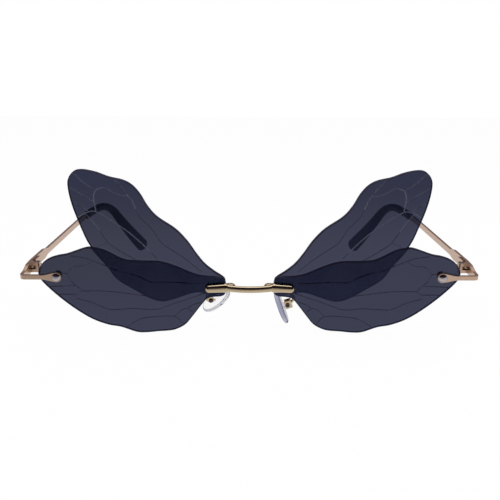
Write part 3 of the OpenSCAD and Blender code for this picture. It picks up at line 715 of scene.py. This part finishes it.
# The forewing's colour darkens towards its top: painted shade.
fore_sheet = smoke_sheet("smoke_blue_forewing", (0.043, 0.045, 0.067), (0.0295, 0.0325, 0.057))
hind_sheet = smoke_sheet("smoke_blue_hindwing", (0.036, 0.038, 0.055), (0.037, 0.038, 0.057))
ground_edge = ground_sheet_edge()

# The engraved lines are given a darker tint than the polished sheet: painted shade. Those near the
# tops of the forewings are a lit copy, with a paler tint and a brighter gloss: painted light, so
# that they look paler even in front of the black tips.
shaded_engraved_line = cut_line("shaded_engraved_line", 1.6, tint=(0.018, 0.015, 0.031), gloss=(0.4, 0.45, 0.95))
lit_engraved_line = cut_line("lit_engraved_line", 1.65, tint=(0.07, 0.073, 0.105), gloss=(0.8, 0.84, 1.0))

wing_forms = {
    "forewing": {
        "points": fore_points,
        "size": fore_size,
        "veins": fore_veins,
        "lit_veins": fore_lit_veins,
        "front": sheet_t,
        "holes": stud_places,
        "sheet": fore_sheet,
    },
    "hindwing": {
        "points": hind_points,
        "size": hind_size,
        "veins": hind_veins,
        "lit_veins": [],
        "front": 0.0,
        "holes": stud_places + [eye_place],
        "sheet": hind_sheet,
    },
}
for side_name, side in sides:
    for wing_name, form in wing_forms.items():
        node = f"{side_name}_{wing_name}"
        wing = wing_sheet(f"{node}_sheet", side, **form)
        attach(wing, "front")
        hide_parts(node)


# Metal pieces
# The bridge, the pad arms and the nuts on its studs are polished and plated pale gold, and
# the endpieces and temples are satin rose gold. The washers, the lens nuts and the lens and
# hinge screws are plated steel, and the pad screws are burnished steel.
cloud_scale = 260.0
marks_scale = 5200.0
relief_strength = 0.25
solid_merge_gap = 0.001
solid_edge_angle = math.radians(35)


def polish_group():
    """Two soft noises: broad clouds for the colour, and fine marks of polishing, drawn out
    along y where the stretch is under 1, for the roughness and the relief."""
    group = bpy.data.node_groups.new("polish_marks", "ShaderNodeTree")
    for name, way in (
        ("Scale", "INPUT"),
        ("Stretch", "INPUT"),
        ("Cloud", "OUTPUT"),
        ("Marks", "OUTPUT"),
    ):
        group.interface.new_socket(name, in_out=way, socket_type="NodeSocketFloat")
    into = group.nodes.new("NodeGroupInput")
    out = group.nodes.new("NodeGroupOutput")
    place = group.nodes.new("ShaderNodeTexCoord")
    cloud = group.nodes.new("ShaderNodeTexNoise")
    cloud.inputs["Scale"].default_value = cloud_scale
    cloud.inputs["Detail"].default_value = 3.0
    group.links.new(place.outputs["Object"], cloud.inputs["Vector"])
    group.links.new(cloud.outputs[0], out.inputs["Cloud"])
    join = group.nodes.new("ShaderNodeCombineXYZ")
    join.inputs["X"].default_value = 1.0
    join.inputs["Z"].default_value = 1.0
    group.links.new(into.outputs["Stretch"], join.inputs["Y"])
    drawn = group.nodes.new("ShaderNodeVectorMath")
    drawn.operation = "MULTIPLY"
    group.links.new(place.outputs["Object"], drawn.inputs[0])
    group.links.new(join.outputs[0], drawn.inputs[1])
    marks = group.nodes.new("ShaderNodeTexNoise")
    marks.inputs["Detail"].default_value = 2.0
    group.links.new(drawn.outputs[0], marks.inputs["Vector"])
    group.links.new(into.outputs["Scale"], marks.inputs["Scale"])
    group.links.new(marks.outputs[0], out.inputs["Marks"])
    return group


polish_marks = polish_group()


def plated_metal(name, pale, deep, smooth, rough, stretch, depth):
    """Plated metal: its colour drifts between two shades and its roughness between two
    values with the polishing, which also leaves a very fine relief."""
    material, tree, out = new_material(name)
    shader = principled(tree, out, Metallic=1.0)
    marks = tree.nodes.new("ShaderNodeGroup")
    marks.node_tree = polish_marks
    marks.inputs["Scale"].default_value = marks_scale
    marks.inputs["Stretch"].default_value = stretch
    shade = colour_between(tree, marks.outputs["Cloud"], pale, deep)
    tree.links.new(shade, shader.inputs["Base Color"])
    gloss = spread(tree, marks.outputs["Marks"], 0.0, 1.0, smooth, rough)
    tree.links.new(gloss.outputs["Result"], shader.inputs["Roughness"])
    relief = tree.nodes.new("ShaderNodeBump")
    relief.inputs["Strength"].default_value = relief_strength
    relief.inputs["Distance"].default_value = depth
    tree.links.new(marks.outputs["Marks"], relief.inputs["Height"])
    tree.links.new(relief.outputs["Normal"], shader.inputs["Normal"])
    return material


def finish_solid(node, material):
    """A solid piece as it is, in one material, and shaded smooth but for its edges."""
    piece = frame["nodes"][node]
    piece.data.materials.clear()
    piece.data.materials.append(material)
    piece.data.polygons.foreach_set("use_smooth", [True] * len(piece.data.polygons))
    weld = piece.modifiers.new("weld", "WELD")
    weld.merge_threshold = solid_merge_gap * mm
    split = piece.modifiers.new("edges", "EDGE_SPLIT")
    split.split_angle = solid_edge_angle


gold = plated_metal(
    "polished_gold",
    pale=(0.49, 0.395, 0.262),
    deep=(0.44, 0.352, 0.232),
    smooth=0.05,
    rough=0.13,
    stretch=0.15,
    depth=2e-6,
)
rose_gold = plated_metal(
    "satin_rose_gold",
    pale=(0.52, 0.365, 0.275),
    deep=(0.47, 0.33, 0.247),
    smooth=0.22,
    rough=0.34,
    stretch=0.1,
    depth=4e-6,
)
steel = plated_metal(
    "plated_steel",
    pale=(0.42, 0.4, 0.42),
    deep=(0.38, 0.36, 0.38),
    smooth=0.06,
    rough=0.14,
    stretch=1.0,
    depth=2e-6,
)
dark_steel = plated_metal(
    "burnished_steel",
    pale=(0.07, 0.055, 0.06),
    deep=(0.045, 0.035, 0.04),
    smooth=0.1,
    rough=0.2,
    stretch=1.0,
    depth=2e-6,
)
for node in ("bridge", "left_pad_arm", "right_pad_arm", "stud_nuts"):
    finish_solid(node, gold)
for node in ("left_endpiece", "right_endpiece", "left_temple", "right_temple"):
    finish_solid(node, rose_gold)
for node in (
    "stud_washers",
    "lens_washers",
    "lens_nuts",
    "left_lens_screw",
    "right_lens_screw",
    "left_hinge_screw",
    "right_hinge_screw",
):
    finish_solid(node, steel)
for node in ("left_pad_screw", "right_pad_screw"):
    finish_solid(node, dark_steel)


# Temple tips
# Glossy black sleeves moulded over the bent ends of the temples, flat in section, wider
# towards a rounded paddle, with a thin rounded lip where the metal goes in. They are drawn
# in millimetres in the frame of the temples, for the right side.
temple_y = 12.1
side_x = 76.1
toe_in = math.tan(math.radians(4.3))
bend_at = 93.5
bend_r = 22.0
bend_angle = math.radians(47.5)
drop_len = 31.0
curl_in = 14.2
curl_at = 72.0
temple_t = 1.0
tip_at = 80.0
tip_h = 3.3
paddle_h = 6.0
tip_t = 2.9
lip_len = 1.0
lip_share = 0.2
widen_from = 0.35
end_thickness = 0.25
oval_power = 0.8
straight = bend_at - temple_y
bend_len = bend_r * bend_angle
line_len = straight + bend_len + drop_len
tip_s = tip_at - temple_y
paddle_s = line_len - paddle_h / 2
end_y = bend_at + bend_r * math.sin(bend_angle) + drop_len * math.cos(bend_angle)
curl_k = curl_in / (end_y - curl_at) ** 2

# Rings along the lip, along the sleeve and round its end, and points to a ring
lip_rings = 9
sleeve_rings = 70
end_rings = 12
end_turn = math.radians(88)
sleeve_sides = 48


def ease(t):
    """A smooth step from 0 to 1: 3t^2 - 2t^3."""
    c = np.clip(t, 0, 1)
    return c * c * (3 - 2 * c)


def rounded(wave):
    """A sine or cosine raised to a power under 1 with its sign kept, which makes an oval ring
    squarer."""
    return np.sign(wave) * np.abs(wave) ** oval_power


def beside_temple(s, h, b):
    """The point at the distance s along the centre line of the right temple, h up across it
    and b out from it: straight back, then an arc down, then straight again, while the side
    of the temple goes in by the toe-in and by a square law past the curl."""
    turn = np.clip((s - straight) / bend_r, 0, bend_angle)
    past = np.clip(s - straight - bend_len, 0, None)
    y = temple_y + np.minimum(s, straight) + bend_r * np.sin(turn) + past * math.cos(bend_angle)
    z = -bend_r * (1 - np.cos(turn)) - past * math.sin(bend_angle)
    y = y + h * np.sin(turn)
    z = z + h * np.cos(turn)
    x = side_x - (y - temple_y) * toe_in - curl_k * np.clip(y - curl_at, 0, None) ** 2
    return np.stack([x - temple_t / 2 + b, y, z], axis=-1)


def sleeve_skin():
    """Oval rings along the temple. Half their height grows by a smooth step from the tip's
    to the paddle's, and half their thickness is the same all along. Both grow over the lip
    by a quarter of an ellipse. At the end the height closes as a half circle, while the
    thickness falls to a share of itself."""
    turn = np.linspace(0, 2 * math.pi, sleeve_sides, endpoint=False)[None, :]
    end_round = np.linspace(0, end_turn, end_rings)
    s = np.concatenate(
        [
            tip_s + np.linspace(0, lip_len, lip_rings)[:-1],
            np.linspace(tip_s + lip_len, paddle_s, sleeve_rings)[:-1],
            line_len - paddle_h / 2 * (1 - np.sin(end_round)),
        ]
    )
    close = np.concatenate([np.ones(len(s) - end_rings), np.cos(end_round)])
    from_mouth = np.clip((s - tip_s) / lip_len, 0, 1)
    lip = 1 - lip_share + lip_share * np.sqrt(1 - (1 - from_mouth) ** 2)
    widen = ease(((s - tip_s) / (line_len - tip_s) - widen_from) / (1 - widen_from))
    half_h = (tip_h + (paddle_h - tip_h) * widen) / 2 * close * lip
    half_t = tip_t / 2 * lip * (end_thickness + (1 - end_thickness) * close)
    return beside_temple(
        s[:, None],
        half_h[:, None] * rounded(np.sin(turn)),
        half_t[:, None] * rounded(np.cos(turn)),
    )


def loft_faces(rings, ring_sides):
    """Quads between rings of points, and a fan of triangles from an extra point at each
    end of the row of rings, so that the skin is closed."""
    i, k = np.meshgrid(np.arange(rings - 1), np.arange(ring_sides), indexing="ij")
    here = i * ring_sides
    there = here + ring_sides
    after = (k + 1) % ring_sides
    quads = np.stack([here + k, here + after, there + after, there + k], axis=-1).reshape(-1, 4)
    k = np.arange(ring_sides)
    after = (k + 1) % ring_sides
    last = (rings - 1) * ring_sides
    first_end = np.full(ring_sides, rings * ring_sides)
    first_fan = np.stack([first_end, after, k], axis=1)
    last_fan = np.stack([first_end + 1, last + k, last + after], axis=1)
    return quads.tolist() + first_fan.tolist() + last_fan.tolist()


def closed_loft(name, rings, place, side, material):
    """A smooth closed skin through rings of points in millimetres, drawn for the right side
    in the frame given and mirrored for the left."""
    count, ring_sides, _ = rings.shape
    ends = np.stack([rings[0].mean(axis=0), rings[-1].mean(axis=0)])
    points = np.vstack([rings.reshape(-1, 3), ends]) * mm
    place = np.array(place)
    points = points @ place[:3, :3].T + place[:3, 3]
    points[:, 0] *= side
    made = surface_object(name, points, loft_faces(count, ring_sides), material)
    work = bmesh.new()
    work.from_mesh(made.data)
    bmesh.ops.recalc_face_normals(work, faces=work.faces)
    work.to_mesh(made.data)
    work.free()
    made.data.polygons.foreach_set("use_smooth", [True] * len(made.data.polygons))
    return made


def black_moulding():
    """Glossy black moulded plastic."""
    material, tree, out = new_material("black_moulding")
    principled(
        tree,
        out,
        Roughness=0.16,
        Specular_IOR_Level=0.35,
        Base_Color=(0.006, 0.006, 0.009, 1),
    )
    return material


sleeve_shape = sleeve_skin()
black_plastic = black_moulding()
for side_name, side in sides:
    sleeve = closed_loft(f"{side_name}_sleeve", sleeve_shape, temple_frame, side, black_plastic)
    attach(sleeve, f"{side_name}_arm")
    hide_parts(f"{side_name}_temple_tip")


# Nose pads
# Soft clear silicone, drop-shaped and crowned towards the nose, each moulded round a hard clear
# core whose tab is screwed in the pad box. The two pads sit at different angles, and the right one
# absorbs far more light in its silicone: painted shade, as both pads are of one silicone.
pad_x = 13.2
pad_y = 7.5
pad_back = 1.6
pad_len = 13.2
pad_w = 7.6
pad_t = 2.1
pad_taper = 0.14
rim_share = 0.35
rim_flare = 0.1
rim_power = 2.5
crown_power = 0.8

# Rings over the flat back, up the rim and over the crown, and points to a ring
back_rings = 6
rim_rings = 8
crown_rings = 16
pad_sides = 64
back_smallest = 0.1
back_largest = 0.85
# Painted rim shade on the last ring of the back
back_edge_shade = 0.1


def pad_skin():
    """Rings of the pad from its back to its crown, and how much painted rim shade each has.
    At the angle a, a ring lies half the width times cos a times (1 - taper sin a) to the
    side, and half the length times sin a up. The back is flat. Up the rim the rings widen
    by a power law. Over the crown they shrink as a power of a cosine, while the height
    grows as that power of the sine."""
    turn = np.linspace(0, 2 * math.pi, pad_sides, endpoint=False)[None, :]
    rim = np.linspace(0, 1, rim_rings)
    crown = np.linspace(0, math.pi / 2, crown_rings + 2)[1:-1]
    up = np.concatenate(
        [
            np.zeros(back_rings),
            rim_share * rim,
            rim_share + (1 - rim_share) * np.sin(crown) ** crown_power,
        ]
    )
    spread_out = np.concatenate(
        [
            np.linspace(back_smallest, back_largest, back_rings),
            1 - rim_flare * (1 - rim) ** rim_power,
            np.cos(crown) ** crown_power,
        ]
    )
    rim_shade = np.concatenate(
        [
            np.zeros(back_rings - 1),
            [back_edge_shade],
            (1 - rim) ** 2,
            np.zeros(crown_rings),
        ]
    )
    up = up[:, None]
    spread_out = spread_out[:, None]
    rings = np.stack(
        [
            -pad_back - pad_t * up + 0 * turn,
            pad_w / 2 * spread_out * np.cos(turn) * (1 - pad_taper * np.sin(turn)),
            pad_len / 2 * spread_out * np.sin(turn),
        ],
        axis=-1,
    )
    return rings, rim_shade


def clear_silicone(name, absorption_and_shade):
    """Clear silicone that takes a violet cast with the depth of the light's way in it. Where the
    surface turns away from the eye, and along its rim, its colour darkens to violet: painted
    shade, for the dark surroundings that it bends and mirrors there."""
    material, tree, out = new_material(name)
    shader = principled(tree, out, Roughness=0.03, IOR=1.25, Transmission_Weight=1.0)
    slant = tree.nodes.new("ShaderNodeLayerWeight")
    slant.inputs["Blend"].default_value = 0.5
    # Painted shade: the colour darkens to violet where the surface turns away from the eye.
    cast = tree.nodes.new("ShaderNodeValToRGB")
    cast.color_ramp.elements[0].position = 0.5
    cast.color_ramp.elements[0].color = (0.99, 0.99, 0.99, 1)
    cast.color_ramp.elements[1].position = 0.9
    cast.color_ramp.elements[1].color = (0.06, 0.055, 0.085, 1)
    cast.color_ramp.elements.new(0.65).color = (0.4, 0.4, 0.54, 1)
    tree.links.new(slant.outputs["Facing"], cast.inputs["Fac"])
    # Painted shade along the rim, carried by the rim attribute of the points.
    rim_shade_mark = tree.nodes.new("ShaderNodeAttribute")
    rim_shade_mark.attribute_name = "rim"
    rim_shading = tree.nodes.new("ShaderNodeMix")
    rim_shading.data_type = "RGBA"
    rim_shading.inputs["B"].default_value = (0.12, 0.1, 0.15, 1)
    tree.links.new(rim_shade_mark.outputs["Fac"], rim_shading.inputs["Factor"])
    tree.links.new(cast.outputs["Color"], rim_shading.inputs["A"])
    tree.links.new(rim_shading.outputs["Result"], shader.inputs["Base Color"])
    depth = tree.nodes.new("ShaderNodeVolumeAbsorption")
    depth.inputs["Color"].default_value = (0.5, 0.5, 0.64, 1)
    depth.inputs["Density"].default_value = absorption_and_shade
    tree.links.new(depth.outputs[0], out.inputs["Volume"])
    return material


pad_shape, pad_rim_shade = pad_skin()
# How much painted rim shade each point carries
point_rim_shade = np.concatenate([np.repeat(pad_rim_shade, pad_sides), [0, 0]])
# The right pad's much higher absorption is painted shade; the left one's is the silicone's own.
for side_name, side, drop, splay, lean, turn, absorption_and_shade in (
    ("left", -1, 6.2, 26, 39, 43, 20.0),
    ("right", 1, 8.7, 1, 20, -4, 300.0),
):
    pad_frame = (
        lens_frame
        @ Matrix.Translation(Vector((pad_x, pad_y, -drop)) * mm)
        @ Matrix.Rotation(math.radians(-splay), 4, "Z")
        @ Matrix.Rotation(math.radians(-lean), 4, "Y")
        @ Matrix.Rotation(math.radians(turn), 4, "X")
    )
    silicone = clear_silicone(f"{side_name}_clear_silicone", absorption_and_shade)
    pad = closed_loft(f"{side_name}_silicone_pad", pad_shape, pad_frame, side, silicone)
    pad.data.attributes.new("rim", "FLOAT", "POINT").data.foreach_set("value", point_rim_shade)
    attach(pad, f"{side_name}_pad")
    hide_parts(f"{side_name}_nose_pad")


# Clear plastic pieces
# The bushings round the studs and lens screws in the sheets, and the cores of the pads, are
# moulded in clear hard plastic.
bushing_index = 1.49
core_in_silicone_index = 1.06


def clear_plastic(name, index):
    """Clear hard plastic; inside the silicone it bends the light by the two indexes' ratio."""
    material, tree, out = new_material(name)
    principled(
        tree,
        out,
        Roughness=0.02,
        IOR=index,
        Transmission_Weight=1.0,
        Base_Color=(0.94, 0.94, 0.97, 1),
    )
    return material


bushing_plastic = clear_plastic("clear_sleeve_plastic", bushing_index)
core_plastic = clear_plastic("clear_core_plastic", core_in_silicone_index)
for node in ("stud_bushings", "lens_bushings"):
    finish_solid(node, bushing_plastic)
for node in ("left_pad_insert", "right_pad_insert"):
    finish_solid(node, core_plastic)
